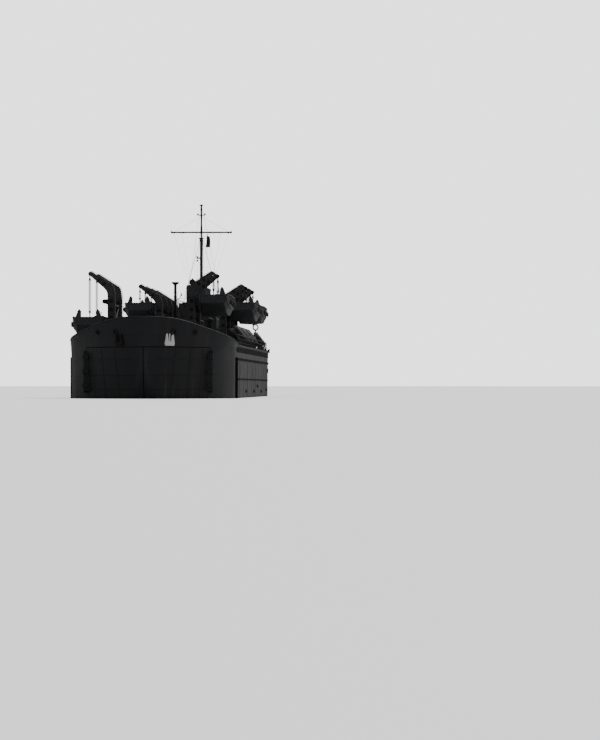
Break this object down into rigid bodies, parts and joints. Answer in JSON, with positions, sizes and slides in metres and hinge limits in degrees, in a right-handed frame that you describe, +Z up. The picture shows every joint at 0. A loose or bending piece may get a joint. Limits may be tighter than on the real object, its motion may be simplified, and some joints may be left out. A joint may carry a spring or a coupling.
{
  "type": "tank landing ship, one-tenth scale model",
  "caption": "Ramped tank landing ship with closed bow doors, hollow tank deck, bent-arm davits that run out on rails, slung ramped boats, aft bridge, single mast and twin propellers.",
  "frame": {"origin": "on the centreline of the flat keel bottom, amidships", "axes": "+X towards the bow, +Y to port, +Z up; the waterline is 0.275 m above the origin"},
  "size_m": [10.0289, 1.6245, 2.437],
  "materials": {
    "hull_paint": "weathered matt, streaked",
    "deck_paint": "worn matt",
    "house_paint": "matt",
    "davit_paint": "matt, chipped",
    "boat_paint": "matt",
    "engine_paint": "satin",
    "dark_iron": "rough",
    "bronze": "dull",
    "buoy_canvas": "painted canvas",
    "bunting": "faded cloth"
  },
  "bodies": {
    "ship": {"hull_bottom": "hull_paint", "hull_side_port": "hull_paint", "hull_side_starboard": "hull_paint", "hull_stern": "hull_paint", "engine_port": "engine_paint", "engine_starboard": "engine_paint", "main_deck": "deck_paint", "forecastle": "hull_paint", "davit_bed_port_forward": "deck_paint", "davit_bed_starboard_forward": "deck_paint", "davit_bed_port_middle": "deck_paint", "davit_bed_starboard_middle": "deck_paint", "davit_bed_port_after": "deck_paint", "davit_bed_starboard_after": "deck_paint", "deckhouse": "house_paint", "bridge_house": "house_paint", "conning_station": "house_paint", "signal_lamp": "davit_paint", "mast": "davit_paint", "yard": "davit_paint", "exhaust_pipe": "dark_iron", "cargo_hatch": "deck_paint", "anchor_windlass": "dark_iron", "bow_platform": "house_paint", "stern_platform": "house_paint", "stern_anchor_winch": "dark_iron", "shaft_skeg_port": "hull_paint", "shaft_skeg_starboard": "hull_paint", "anchor_port": "dark_iron", "anchor_starboard": "dark_iron", "stern_anchor": "dark_iron", "lifebuoy": "buoy_canvas", "signal_flag": "bunting"},
    "bow_door_port": {"bow_door_port": "hull_paint"},
    "bow_door_starboard": {"bow_door_starboard": "hull_paint"},
    "bow_ramp": {"bow_ramp": "deck_paint"},
    "propeller_port": {"propeller_port": "bronze"},
    "propeller_starboard": {"propeller_starboard": "bronze"},
    "rudder_port": {"rudder_port": "hull_paint"},
    "rudder_starboard": {"rudder_starboard": "hull_paint"},
    "davit_port_forward": {"davit_arms_port_forward": "davit_paint", "boat_port_forward": "boat_paint"},
    "davit_starboard_forward": {"davit_arms_starboard_forward": "davit_paint", "boat_starboard_forward": "boat_paint"},
    "davit_port_middle": {"davit_arms_port_middle": "davit_paint", "boat_port_middle": "boat_paint"},
    "davit_starboard_middle": {"davit_arms_starboard_middle": "davit_paint", "boat_starboard_middle": "boat_paint"},
    "davit_port_after": {"davit_arms_port_after": "davit_paint", "boat_port_after": "boat_paint"},
    "davit_starboard_after": {"davit_arms_starboard_after": "davit_paint", "boat_starboard_after": "boat_paint"}
  },
  "joints": [
    {"name": "bow_door_port_swing", "type": "hinge", "parent": "ship", "child": "bow_door_port", "pos_m": [4.404, 0.581, 0.517], "axis": [0, 0, 1], "range_deg": [0, 90]},
    {"name": "bow_door_starboard_swing", "type": "hinge", "parent": "ship", "child": "bow_door_starboard", "pos_m": [4.404, -0.581, 0.517], "axis": [0, 0, 1], "range_deg": [-90, 0]},
    {"name": "bow_ramp_fall", "type": "hinge", "parent": "ship", "child": "bow_ramp", "pos_m": [4.415, 0, 0.322], "axis": [0, 1, 0], "range_deg": [0, 102]},
    {"name": "davit_port_forward_run", "type": "slide", "parent": "ship", "child": "davit_port_forward", "axis": [0, 1, 0], "range_m": [0, 0.42]},
    {"name": "davit_starboard_forward_run", "type": "slide", "parent": "ship", "child": "davit_starboard_forward", "axis": [0, -1, 0], "range_m": [-0.14, 0.207]},
    {"name": "davit_port_middle_run", "type": "slide", "parent": "ship", "child": "davit_port_middle", "axis": [0, 1, 0], "range_m": [0, 0.351]},
    {"name": "davit_starboard_middle_run", "type": "slide", "parent": "ship", "child": "davit_starboard_middle", "axis": [0, -1, 0], "range_m": [0, 0.351]},
    {"name": "davit_port_after_run", "type": "slide", "parent": "ship", "child": "davit_port_after", "axis": [0, 1, 0], "range_m": [0, 0.351]},
    {"name": "davit_starboard_after_run", "type": "slide", "parent": "ship", "child": "davit_starboard_after", "axis": [0, -1, 0], "range_m": [0, 0.351]},
    {"name": "propeller_port_spin", "type": "hinge", "parent": "ship", "child": "propeller_port", "pos_m": [-4.28, 0.3, 0.112], "axis": [1, 0, 0], "continuous": true},
    {"name": "rudder_port_turn", "type": "hinge", "parent": "ship", "child": "rudder_port", "pos_m": [-4.52, 0.3, 0.112], "axis": [0, 0, 1], "range_deg": [-35, 35]},
    {"name": "propeller_starboard_spin", "type": "hinge", "parent": "ship", "child": "propeller_starboard", "pos_m": [-4.28, -0.3, 0.112], "axis": [1, 0, 0], "continuous": true},
    {"name": "rudder_starboard_turn", "type": "hinge", "parent": "ship", "child": "rudder_starboard", "pos_m": [-4.52, -0.3, 0.112], "axis": [0, 0, 1], "range_deg": [-35, 35]}
  ],
  "couplings": [
    {"joint": "bow_door_starboard_swing", "follows": "bow_door_port_swing", "ratio": -1},
    {"joint": "bow_ramp_fall", "follows": "bow_door_port_swing", "ratio": 1.1333}
  ]
}
